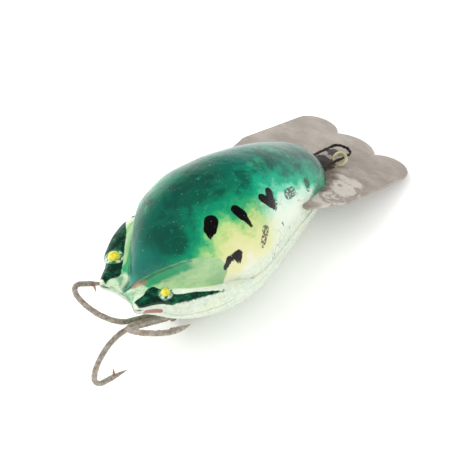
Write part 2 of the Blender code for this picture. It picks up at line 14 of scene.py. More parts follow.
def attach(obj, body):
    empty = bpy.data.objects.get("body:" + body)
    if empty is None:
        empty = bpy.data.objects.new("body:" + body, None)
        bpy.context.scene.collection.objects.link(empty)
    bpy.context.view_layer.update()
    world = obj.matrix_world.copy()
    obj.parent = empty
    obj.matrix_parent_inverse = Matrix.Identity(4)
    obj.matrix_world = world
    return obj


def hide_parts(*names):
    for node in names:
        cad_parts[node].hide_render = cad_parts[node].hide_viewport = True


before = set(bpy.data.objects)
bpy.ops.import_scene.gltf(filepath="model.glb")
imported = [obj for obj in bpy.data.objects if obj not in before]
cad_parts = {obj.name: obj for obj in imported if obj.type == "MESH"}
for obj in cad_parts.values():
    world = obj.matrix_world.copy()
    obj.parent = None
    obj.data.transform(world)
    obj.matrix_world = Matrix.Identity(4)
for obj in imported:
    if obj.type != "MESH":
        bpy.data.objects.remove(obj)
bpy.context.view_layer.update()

MM = 0.001

# The body frame and the frames of the pieces on it, as in the CAD
BODY_PITCH = 7.2
SEAM_HEIGHT = 12.5
ORIGIN_SHIFT = 0.05
TAIL_X = -33.7
NOSE_X = 28.0
DOME_POWER = 2.1

LIP_FRONT = (47.7, 0.0, -6.1)
LIP_PITCH = 16.0
LIP_THICKNESS = 0.8
LIP_HALF_WIDTH = 16.2
LIP_SIDE_END = 26.0
LIP_SHOULDER = (37.4, 12.8)
LIP_TONGUE = (41.0, 7.0)
LOBE_RADIUS = 5.45
CUSP_Y = 5.8

BAIL_WIRE = 0.32
BAIL_RISE = 0.95
BAIL_LEFT_Y = 0.4
BAIL_RIGHT_Y = -4.4
BAIL_FRONT_X = 37.8
BAIL_BACK_X = 22.5
TIE_RING_RADIUS = 1.45
TIE_RING_WIRE = 0.32
TIE_RING_BACK = 0.7
TIE_RING_TURN = (0, 38, 35)
SPLIT_STEP_IN = 0.18
SPLIT_STEP_ASIDE = 0.34

HANGER_X = -14.2
HANGER_LOOP_RADIUS = 1.5
HANGER_WIRE = 0.42
HANGER_LOOP_Z = -12.3
HOOK_RING_RADIUS = 3.1
HOOK_RING_WIRE = 0.4
HOOK_RING_Z = -12.5
HOOK_RING_YAW = 45.0

HOOK_WIRE = 0.6
HOOK_LENGTH = 24.0
HOOK_BEND_RADIUS = 8.0
POINT_BEND_RADIUS = 3.9
BEND_CHANGE = 96
POINT_TURN = 194
HOOK_EYE_RADIUS = 1.4
HOOK_SHANK_OFFSET = 0.95
HOOK_EYE_Z = -12.42
HOOK_PITCH = 31.2
HOOK_YAW = 5.4
LEFT_HOOK_ANGLE = 16.0
RIGHT_HOOK_ANGLE = 156.0
LOWER_HOOK_ANGLE = 270.0
POINT_LENGTH = 7.6
POINT_TIP = 0.10
BARB_HEIGHT = 2.3
BARB_FROM_POINT = 17

EYE_X = -27.0
EYE_Y = 7.7
EYE_SEAT = 1.9
EYE_RADIUS = 1.45
EYE_HEAD_BASE = 1.1

SCREW_X = 15.5
SCREW_Y = 4.0
SCREW_RADIUS = 0.9
SCREW_HEAD_RADIUS = 1.8

BALLAST_PLACE = (-1.5, 0, -6.4)
BALLAST_RADIUS = 2.4
BALLAST_HALF_LENGTH = 5.5
BALLAST_ROUND = 0.6

WORLD_STRENGTH = 1.08
WORLD_REFLECTED = 0.09
HORIZON_REFLECTED = 1.1
KEY_POWER = 5.0
KEY_PLACE = (-0.30, 0.50, 0.70)
KEY_SIZE = 0.80
FLOOR_SIZE = 3.0
FLOOR_GLOW = 0.12

# The camera, fitted to the photo: place in millimetres of the body's frame, angles in degrees
CAMERA_PLACE = (-161.08, -150.86, 210.14)
CAMERA_AZIMUTH = -46.7
CAMERA_ELEVATION = 43.7
CAMERA_LENS = 110.48
CAMERA_SENSOR = 36

# Stations along x, as in the CAD: the body's outline and height from claws to nose
OUTLINE = ((-34.4, 6.0), (-31, 8.4), (-26.5, 11.4), (-21.5, 14.1), (-17, 15.6), (-12, 16.3),
           (-7, 16.3), (0, 15.1), (7, 13.3), (14, 11.7), (20, 10.1), (25, 7.5), (28, 2.6))
DOME_WIDTH = ((-34.4, 0.2), (-30.4, 0.5), (-27.5, 3.4), (-24.5, 7.0), (-19.3, 12.0),
              (-13.5, 14.8), (-9, 15.8), (-7, 16.0), (0, 14.8), (7, 13.0), (14, 11.4),
              (20, 9.8), (25, 7.2), (28, 2.3))
DOME_HEIGHT = ((-34.4, 2.1), (-30.4, 2.6), (-27.5, 6.6), (-24.5, 9.8), (-19.3, 13.4),
               (-13, 15.7), (-6, 16.6), (1, 16.3), (8, 14.7), (14, 12.4), (20, 9.3),
               (25, 6.2), (28, 1.7))
RIM_ANGLE = ((-34.4, 60), (-30.4, 58), (-27.5, 48), (-24.5, 46), (-21.5, 45), (-19.3, 42),
             (-16.5, 36), (-13.5, 25), (-11, 10), (-9, 5), (28, 5))
RIDGE_HEIGHT = ((-34.4, 3.0), (-24, 3.2), (-18, 2.6), (-12, 1.4), (-8, 0.7), (20, 0.3),
                (28, 0.1))
RIDGE_WIDTH = ((-34.4, 2.6), (-31, 3.6), (-27, 4.0), (-22, 2.6), (-17, 1.6), (-11, 0.6),
               (-8, 0.2), (28, 0.1))
BELLY_DEPTH = ((-34.4, -0.6), (-30, 2.6), (-24, 6.6), (-16.3, 9.9), (-10, 12.2), (-3, 13.3),
               (4, 12.7), (12, 10.8), (20, 7.6), (25, 4.5), (28, 1.6))
BELLY_POWER = ((-34.4, 2.3), (-24, 2.4), (-12, 2.3), (0, 2.15), (28, 2.1))
TAIL_LIFT = ((-34.4, 1.6), (-30, 1.1), (-24, 0.2), (-20, 0.0), (28, 0.0))

# Where the green of the back ends, as an angle above the side; below it the flank turns pale
BACK_EDGE = ((-30, 36), (-24, 40), (-18.5, 52), (-13.6, 68), (-9.4, 69), (-5, 62), (2, 62),
             (8, 56), (12.5, 51), (17, 44), (21, 30), (24, 0), (28, -35))
# Inner and outer edge of the dark paint on the claws
CLAW_INNER_RIGHT = ((-33.6, 4.4), (-31, 4.8), (-28.6, 4.1), (-27.4, 4.6), (-26.4, 8.7),
                    (-22, 12.0), (-17.6, 14.8))
CLAW_INNER_LEFT = ((-33.6, 4.2), (-32.4, 3.8), (-30, 3.0), (-28, 4.2), (-24.1, 7.6),
                   (-20, 11.3), (-17.2, 14.5))
CLAW_OUTER = ((-33.6, 5.2), (-32.4, 7.0), (-29.8, 8.9), (-27.1, 10.6), (-22.4, 13.2), (-17.6, 15.0))


def turned_frame(parent, place, angles):
    """Frame at a place in millimetres of the parent frame, turned by angles in degrees."""
    turn = Euler([math.radians(a) for a in angles]).to_matrix().to_4x4()
    return parent @ Matrix.Translation(Vector(place) * MM) @ turn


BODY = turned_frame(Matrix.Identity(4), (ORIGIN_SHIFT, 0, SEAM_HEIGHT), (0, BODY_PITCH, 0))
LIP = turned_frame(BODY, LIP_FRONT, (0, LIP_PITCH, 0))


def at(stations, x):
    """Smooth value at x through the given stations, without overshoot between them."""
    count = len(stations)
    slopes = []
    for i in range(count - 1):
        (x0, v0), (x1, v1) = stations[i], stations[i + 1]
        slopes.append((v1 - v0) / (x1 - x0))
    tangents = [slopes[0]]
    for before, after in zip(slopes, slopes[1:]):
        same_way = before * after > 0.0
        tangents.append(2.0 * before * after / (before + after) if same_way else 0.0)
    tangents.append(slopes[-1])
    x = min(max(x, stations[0][0]), stations[-1][0])
    i = 0
    while i < count - 2 and x > stations[i + 1][0]:
        i += 1
    (x0, v0), (x1, v1) = stations[i], stations[i + 1]
    span = x1 - x0
    t = (x - x0) / span
    return (v0 * (1 + 2 * t) * (1 - t) ** 2 + v1 * t * t * (3 - 2 * t)
            + tangents[i] * span * t * (1 - t) ** 2 - tangents[i + 1] * span * t * t * (1 - t))


def oval_point(width, height, angle, power):
    c = abs(math.cos(math.radians(angle)))
    s = abs(math.sin(math.radians(angle)))
    return width * c ** (2 / power), height * s ** (2 / power)


def unit(value):
    """Value held between 0 and 1."""
    return min(max(value, 0.0), 1.0)


def steps(start, end, count):
    return [start + (end - start) * i / count for i in range(count + 1)]


def srgb(red, green, blue):
    """Linear colour from 0 to 255 values."""
    def channel(v):
        v = v / 255
        return ((v + 0.055) / 1.055) ** 2.4 if v > 0.04045 else v / 12.92
    return (channel(red), channel(green), channel(blue), 1.0)


# ---------------------------------------------------------------- meshes

def mesh_object(name, vertices, faces, place, body="lure_body", slot=None, replaces=()):
    """Smooth mesh piece from vertices in millimetres of the frame called place."""
    mesh = bpy.data.meshes.new(name)
    mesh.from_pydata([place @ (Vector(v) * MM) for v in vertices], [], faces)
    bm = bmesh.new()
    bm.from_mesh(mesh)
    bmesh.ops.recalc_face_normals(bm, faces=bm.faces)
    bm.to_mesh(mesh)
    bm.free()
    mesh.shade_smooth()
    obj = bpy.data.objects.new(name, mesh)
    bpy.context.scene.collection.objects.link(obj)
    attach(obj, body)
    if replaces:
        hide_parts(*replaces)
    return obj


def set_attribute(obj, name, values):
    layer = obj.data.attributes.new(name, "FLOAT", "POINT")
    layer.data.foreach_set("value", values)


def sharpen(obj, angle=35.0):
    obj.data.set_sharp_from_angle(angle=math.radians(angle))


# ---------------------------------------------------------------- the two body shells

STATION_COUNT = 150
WALL_STEPS = 6
RIDGE_STEPS = 8
HOLLOW_STEPS = 18
DOME_STEPS = 34
BELLY_STEPS = 30
TIP_ROUND = 1.3
TIP_Y = 4.9
NOTCH_DEPTH = 1.7
LIP_SLOT_X = 10.1
LEFT_SPOT_SHIFT = (-2.4, 3.6)
LEFT_BACK_SHIFT = 24.0


def body_half_section(x):
    """Right half of the body's section at x, from crest to keel.

    Each point is (y, z, above_rim, outside, below_seam), the last three measured along the
    section. above_rim is positive on the hood, outside is positive from the claw ridge's
    inner edge towards the side, and below_seam is positive on the belly.
    """
    width = at(OUTLINE, x)
    base = at(TAIL_LIFT, x)
    ridge = max(at(RIDGE_HEIGHT, x), base + 0.1)
    shelf = min(at(RIDGE_WIDTH, x), 0.8 * width)
    rim_angle = at(RIM_ANGLE, x)
    dome_width = at(DOME_WIDTH, x)
    dome_height = at(DOME_HEIGHT, x)
    rim_y, rim_z = oval_point(dome_width, dome_height, rim_angle, DOME_POWER)
    points = []
    for angle in steps(90, rim_angle, DOME_STEPS):
        points.append(oval_point(dome_width, dome_height, angle, DOME_POWER))
    points[0] = (0.0, points[0][1])
    rim_index = len(points) - 1
    curl = min(ridge, 1.1)
    inner_y = max(width - curl - shelf, rim_y + 0.04)
    outer_y = max(width - curl, inner_y + 0.03)
    inner_z = ridge + 0.12 * shelf
    low_y = rim_y + 0.30 * (inner_y - rim_y)
    low_z = inner_z + 0.03 * (rim_z - inner_z) - 0.05 * (inner_y - rim_y)
    for t in steps(0, 1, HOLLOW_STEPS)[1:]:
        y = rim_y * (1 - t) ** 2 + 2 * low_y * t * (1 - t) + inner_y * t * t
        z = rim_z * (1 - t) ** 2 + 2 * low_z * t * (1 - t) + inner_z * t * t
        points.append((y, z))
    inner_index = len(points) - 1
    for t in steps(0, 1, RIDGE_STEPS)[1:]:
        swell = 0.10 * shelf * math.sin(math.pi * t)
        points.append((inner_y + (outer_y - inner_y) * t, inner_z + (ridge - inner_z) * t + swell))
    for angle in steps(90, 0, WALL_STEPS)[1:]:
        a = math.radians(angle)
        points.append((outer_y + (width - outer_y) * math.cos(a),
                       base + (ridge - base) * math.sin(a)))
    seam_index = len(points) - 1
    depth = at(BELLY_DEPTH, x) + base
    for angle in steps(0, 90, BELLY_STEPS)[1:]:
        y, z = oval_point(width, depth, angle, at(BELLY_POWER, x))
        points.append((y, base - z))
    points[-1] = (0.0, points[-1][1])
    lengths = [0.0]
    for (y0, z0), (y1, z1) in zip(points, points[1:]):
        lengths.append(lengths[-1] + math.hypot(y1 - y0, z1 - z0))
    return [(y, z, lengths[rim_index] - s, s - lengths[inner_index], s - lengths[seam_index])
            for (y, z), s in zip(points, lengths)]


def tail_shift(y):
    """How far the rear edge moves forward at a distance from the middle."""
    if y < TIP_Y:
        return NOTCH_DEPTH * (1 - (y / TIP_Y) ** 2) ** 0.8
    return 0.75 * (y - TIP_Y) ** 1.6


def round_tail(x, y, z):
    """Body point moved so that the claws end in rounded tips with a shallow notch between."""
    fade = max(0.0, 1 - (x - TAIL_X) / 7.0)
    new_x = x + tail_shift(abs(y)) * fade ** 2
    depth = (x - TAIL_X) / TIP_ROUND
    if depth < 1.0:
        squeeze = math.sqrt(max(0.0, 1 - (1 - depth) ** 2))
        middle = at(TAIL_LIFT, x) + 0.2
        z = middle + (z - middle) * (0.25 + 0.75 * squeeze)
    return new_x, y, z


def stand_on_floor(point):
    """Body point lifted where it would go below the surface that the lure rests on."""
    world = BODY @ (Vector(point) * MM)
    below = -world.z / MM
    if below > 0.0:
        return point[0], point[1], point[2] + below / math.cos(math.radians(BODY_PITCH))
    return point


def cone_depth(point, start, end, start_radius, end_radius):
    """Depth of a point inside a tapered, round-ended patch, negative outside it."""
    along = Vector(end) - Vector(start)
    offset = Vector(point) - Vector(start)
    t = unit(offset.dot(along) / max(along.length_squared, 1e-9))
    return start_radius + (end_radius - start_radius) * t - (offset - along * t).length


# Black spots on the flank, as tapered patches: start, end, radius at start, radius at end
SPOTS = (
    ((-12.9, 7.3, 13.8), (-14.0, 8.1, 13.1), 1.55, 1.45),
    ((-14.0, 8.1, 13.1), (-15.4, 9.3, 11.5), 1.3, 0.15),
    ((-7.0, 8.6, 14.2), (-6.4, 10.0, 13.1), 1.05, 1.15),
    ((-6.4, 10.0, 13.1), (-5.9, 12.2, 10.9), 1.0, 0.35),
    ((3.1, 8.9, 12.7), (2.2, 10.9, 10.8), 1.0, 0.8),
    ((0.5, 9.3, 12.9), (1.9, 10.9, 11.0), 1.0, 0.8),
    ((1.6, 10.2, 11.8), (2.3, 11.5, 10.0), 1.1, 0.3),
    ((-14.6, 12.9, 5.2), (-13.5, 12.9, 7.4), 0.45, 0.85),
    ((-13.5, 12.9, 7.4), (-11.3, 13.5, 7.7), 0.7, 1.0),
    ((-11.3, 13.5, 7.6), (-11.7, 14.0, 5.7), 0.95, 0.5),
)
# Faded spots and dashes, worn down to patches
WORN_SPOTS = (
    ((8.1, 10.1, 9.4), (9.9, 9.8, 8.8), 1.25, 1.15),
    ((15.9, 9.1, 7.3), (15.4, 9.7, 5.8), 1.1, 0.7),
    ((-2.7, 13.5, 8.6), (-5.0, 14.6, 6.6), 1.1, 0.8),
    ((2.4, 11.4, 10.2), (3.3, 10.4, 10.9), 0.8, 0.8),
    ((-1.3, 14.9, 1.9), (-2.3, 15.2, 1.0), 0.35, 0.2),
    ((3.0, 13.0, 6.3), (3.4, 13.2, 5.3), 0.35, 0.2),
    ((-9.0, 16.1, 1.2), (-9.8, 16.1, 0.5), 0.3, 0.15),
    ((5.6, 13.1, 3.6), (4.8, 13.3, 2.5), 0.3, 0.15),
)
CLAW_BLUSH = (((-31.5, 6.5, 0.7), (-29.2, 8.1, 0.3), 0.75, 0.65),)
BEAK_BLUSH = (((-29.8, 0.9, 2.9), (-27.6, 2.6, 3.8), 0.8, 0.6),)
NOSE_PATCH = (((14.5, 11.0, 2.6), (20.5, 9.2, 3.2), 1.0, 2.4),)


def patches(point, shapes):
    return max(cone_depth(point, *shape) for shape in shapes)


def paint_values(x, y, z, above_rim, outside, below_seam):
    """Where a point of the body lies among the painted areas, as depths in millimetres."""
    shift_y, shift_z = (0, 0) if y < 0 else LEFT_SPOT_SHIFT
    side = (x, abs(y) + shift_y, z + shift_z)
    width = at(DOME_WIDTH, x)
    height = at(DOME_HEIGHT, x)
    angle = math.degrees(math.atan2(max(z, 0.0) / height, abs(y) / width))
    inner = at(CLAW_INNER_LEFT if y > 0 else CLAW_INNER_RIGHT, x)
    claw = min(abs(y) - inner, at(CLAW_OUTER, x) - abs(y), -17.0 - x, -above_rim, x + 33.0,
               z - (1.4 if y > 0 else 2.3 if x < -26 else 1.9))
    eye_distance = math.hypot(x - EYE_X, abs(y) - EYE_Y)
    across = above_rim / min(above_rim + outside, -0.01) if above_rim < 0 else 0.0
    hollow = min(-above_rim, -14.2 - x - 5.0 * (across - 0.45) ** 2, -outside + 0.4)
    on_hood = above_rim > -0.1
    return {
        "tail": (unit((-22 - x) / 5) + min(unit((-27.5 - x) / 5), 0.5)) * on_hood,
        "rim_shade": min(1.25 - abs(above_rim + 1.25), (-20 - x) / 2),
        # Thin band just under the rim, darkened in the paint as a painted shadow
        "rim_shadow_line": min(0.35 - abs(above_rim + 0.35), (-20 - x) / 2, (x + 31.5) / 2),
        "shelf": min(-28.5 - x, 4.6 - abs(y), 3.6 - z, -above_rim),
        "back": (angle - at(BACK_EDGE, x)
                 + (LEFT_BACK_SHIFT if y > 0 else 0.0) * min(abs(y) / 3.0, 1.0)),
        "fore": unit((x + 5.0) / 10.0),
        "hollow": hollow,
        "claw": claw,
        "eye_ring": (2.1 if y > 0 else 1.6) - eye_distance if z > 1.0 else -2.0,
        "spot": patches(side, SPOTS),
        "worn": patches(side, WORN_SPOTS),
        "claw_blush": patches(side, CLAW_BLUSH),
        "beak_blush": patches(side, BEAK_BLUSH),
        "nose_patch": patches(side, NOSE_PATCH),
        "flank": (outside + (4.0 - z - max(x - 13, 0.0) * 0.9 - outside)
                  * unit((x + 16) / 8)),
        "seam": below_seam,
    }


def build_body():
    """The whole outer surface, then the part above the parting line and the part below it."""
    vertices = []
    values = []
    half_count = len(body_half_section(0.0))
    ring = 2 * half_count - 2
    for i in range(STATION_COUNT + 1):
        u = i / STATION_COUNT
        eased = u - 0.055 * math.sin(2 * math.pi * u)
        station_x = TAIL_X + (NOSE_X - TAIL_X) * eased
        half = body_half_section(station_x)
        right = [(-y, z, rim, out, low) for y, z, rim, out, low in half]
        left = [(y, z, rim, out, low) for y, z, rim, out, low in reversed(half[1:-1])]
        for y, z, rim, out, low in right + left:
            x, y, z = round_tail(station_x, y, z)
            x, y, z = stand_on_floor((x, y, z))
            vertices.append((x, y, z))
            values.append(paint_values(x, y, z, rim, out, low))
    faces = []
    upper = []
    for i in range(STATION_COUNT):
        for k in range(ring):
            a = i * ring + k
            b = i * ring + (k + 1) % ring
            faces.append((a, b, b + ring, a + ring))
            middle_x = (vertices[a][0] + vertices[b + ring][0]) / 2
            middle_z = (vertices[a][2] + vertices[b + ring][2]) / 2
            upper.append(middle_z > parting_height(middle_x, values[a]["seam"], middle_z))
    tail_end = tuple(range(ring))
    nose_end = tuple(STATION_COUNT * ring + k for k in range(ring))
    for name, wanted, end, node, slot in (
            ("upper_shell_enamel", True, tail_end, "body_upper_shell", "green_enamel"),
            ("lower_shell_enamel", False, nose_end, "body_lower_shell", "white_enamel")):
        chosen = [face for face, above in zip(faces, upper) if above == wanted]
        chosen.append(end)
        used = sorted({v for face in chosen for v in face})
        index = {v: n for n, v in enumerate(used)}
        obj = mesh_object(name, [vertices[v] for v in used],
                          [tuple(index[v] for v in face) for face in chosen], BODY,
                          slot=slot, replaces=(node,))
        for key in values[0]:
            set_attribute(obj, key, [values[v][key] for v in used])
        obj.data.materials.append(enamel())


def lip_surface_z(x):
    """Height of the lip's middle plane, in the body's frame."""
    return LIP_FRONT[2] + (LIP_FRONT[0] - x) * math.tan(math.radians(LIP_PITCH))


def parting_height(x, below_seam, z):
    """Height of the line where the upper shell ends: the seam, or the lip's slot at the nose."""
    if x > LIP_SLOT_X:
        return lip_surface_z(x)
    return z + below_seam


# ---------------------------------------------------------------- material building blocks

class Paint:
    """A node material under construction; distances in its textures are in millimetres."""

    def __init__(self, name, frame_of_place=None):
        self.material = bpy.data.materials.new(name)
        self.material.use_nodes = True
        self.tree = self.material.node_tree
        self.shader = self.tree.nodes["Principled BSDF"]
        coordinates = self.tree.nodes.new("ShaderNodeTexCoord")
        to_frame = self.tree.nodes.new("ShaderNodeMapping")
        to_frame.vector_type = "TEXTURE"
        if frame_of_place:
            to_frame.inputs["Location"].default_value = frame_of_place.translation
            to_frame.inputs["Rotation"].default_value = frame_of_place.to_euler()
        to_frame.inputs["Scale"].default_value = (MM, MM, MM)
        self.link(coordinates.outputs["Object"], to_frame.inputs["Vector"])
        self.place = to_frame.outputs[0]

    def link(self, source, target):
        self.tree.links.new(source, target)

    def feed(self, value, socket):
        """A number, colour or another node's output into a socket."""
        if isinstance(value, bpy.types.NodeSocket):
            self.link(value, socket)
        else:
            socket.default_value = value

    def node(self, kind, **inputs):
        """A new shader node with values or links on its inputs, spaces written as _."""
        node = self.tree.nodes.new("ShaderNode" + kind)
        for name, value in inputs.items():
            self.feed(value, node.inputs[name.replace("_", " ")])
        return node

    def attribute(self, name):
        node = self.tree.nodes.new("ShaderNodeAttribute")
        node.attribute_name = name
        return node.outputs["Fac"]

    def math(self, operation, a, b=0.0, clamp=False):
        node = self.tree.nodes.new("ShaderNodeMath")
        node.operation = operation
        node.use_clamp = clamp
        self.feed(a, node.inputs[0])
        self.feed(b, node.inputs[1])
        return node.outputs[0]

    def noise(self, size, detail=3.0, rough=0.55, warp=0.0, stretch=None, shift=0.0):
        """Cloudy value from 0 to 1 with features of a size in millimetres."""
        node = self.node("TexNoise", Scale=1 / size, Detail=detail, Roughness=rough,
                         Distortion=warp, Vector=self.stretched(stretch, shift))
        return node.outputs["Fac"]

    def stretched(self, stretch, shift=0.0):
        if stretch is None and shift == 0.0:
            return self.place
        node = self.node("Mapping", Scale=stretch or (1, 1, 1),
                         Location=(shift, shift * 0.7, -shift), Vector=self.place)
        return node.outputs[0]

    def cracks(self, size, width, warp=0.8):
        """1 on thin wandering lines between cells of a size in millimetres, else 0."""
        drift = self.node("TexNoise", Scale=1.6 / size, Detail=4.0, Vector=self.place)
        offset = self.tree.nodes.new("ShaderNodeVectorMath")
        offset.operation = "MULTIPLY_ADD"
        self.link(drift.outputs["Color"], offset.inputs[0])
        offset.inputs[1].default_value = (warp * size,) * 3
        self.link(self.place, offset.inputs[2])
        cells = self.tree.nodes.new("ShaderNodeTexVoronoi")
        cells.feature = "DISTANCE_TO_EDGE"
        cells.inputs["Scale"].default_value = 1 / size
        self.link(offset.outputs[0], cells.inputs["Vector"])
        return self.step(cells.outputs["Distance"], width / size, 0.0)

    def step(self, value, start, end):
        """Smooth rise from 0 at start to 1 at end."""
        node = self.node("MapRange", Value=value, From_Min=start, From_Max=end)
        node.interpolation_type = "SMOOTHSTEP"
        return node.outputs[0]

    def mask(self, name, ragged=0.0, size=1.0, soft=0.12, shift=0.0):
        """1 inside a painted area whose depth is stored on the mesh, with a ragged edge."""
        value = self.attribute(name)
        if ragged:
            wobble = self.drift(self.noise(size, 4.0, 0.6, shift=shift), 2 * ragged)
            value = self.math("ADD", value, wobble)
        return self.step(value, -soft, soft)

    def near(self, centre, radius, ragged, soft, shift=0.0):
        """1 within a radius of a place in millimetres, with a ragged and soft edge."""
        node = self.tree.nodes.new("ShaderNodeVectorMath")
        node.operation = "DISTANCE"
        self.link(self.place, node.inputs[0])
        node.inputs[1].default_value = centre
        clouds = self.noise(1.1 * radius ** 0.5, 4.0, 0.65, shift=shift)
        distance = self.math("ADD", node.outputs["Value"], self.drift(clouds, 2 * ragged))
        return self.step(distance, radius + soft / 2, radius - soft / 2)

    def ramp(self, value, stops):
        node = self.tree.nodes.new("ShaderNodeValToRGB")
        node.color_ramp.interpolation = "EASE"
        elements = node.color_ramp.elements
        while len(elements) < len(stops):
            elements.new(0.5)
        for element, (place, color) in zip(elements, stops):
            element.position = place
            element.color = color
        self.link(value, node.inputs["Fac"])
        return node.outputs["Color"]

    def mix(self, amount, a, b):
        node = self.tree.nodes.new("ShaderNodeMix")
        node.data_type = "RGBA"
        self.feed(amount, node.inputs["Factor"])
        self.feed(a, node.inputs["A"])
        self.feed(b, node.inputs["B"])
        return node.outputs["Result"]

    def over(self, amount, strength):
        return self.math("MULTIPLY", amount, strength)

    def drift(self, value, strength):
        """A 0 to 1 value as a drift about zero, strength times its size."""
        return self.over(self.math("SUBTRACT", value, 0.5), strength)

    def coat(self, color, paint, amount, strength):
        """Paint laid over a colour where amount is 1, at most at this strength."""
        return self.mix(self.over(amount, strength), color, paint)

    def bump(self, height, depth):
        """Normal from a height of 0 to 1 that stands for a depth in millimetres."""
        return self.node("Bump", Distance=depth * MM, Height=height).outputs[0]

    def set(self, **values):
        for name, value in values.items():
            socket = self.shader.inputs[name.replace("_", " ").title().replace("Ior", "IOR")]
            self.feed(value, socket)
        return self.material


MADE = {}


def once(make):
    """Each material is made once and then shared."""
    def get():
        if make.__name__ not in MADE:
            MADE[make.__name__] = make()
        return MADE[make.__name__]
    return get


# ---------------------------------------------------------------- materials

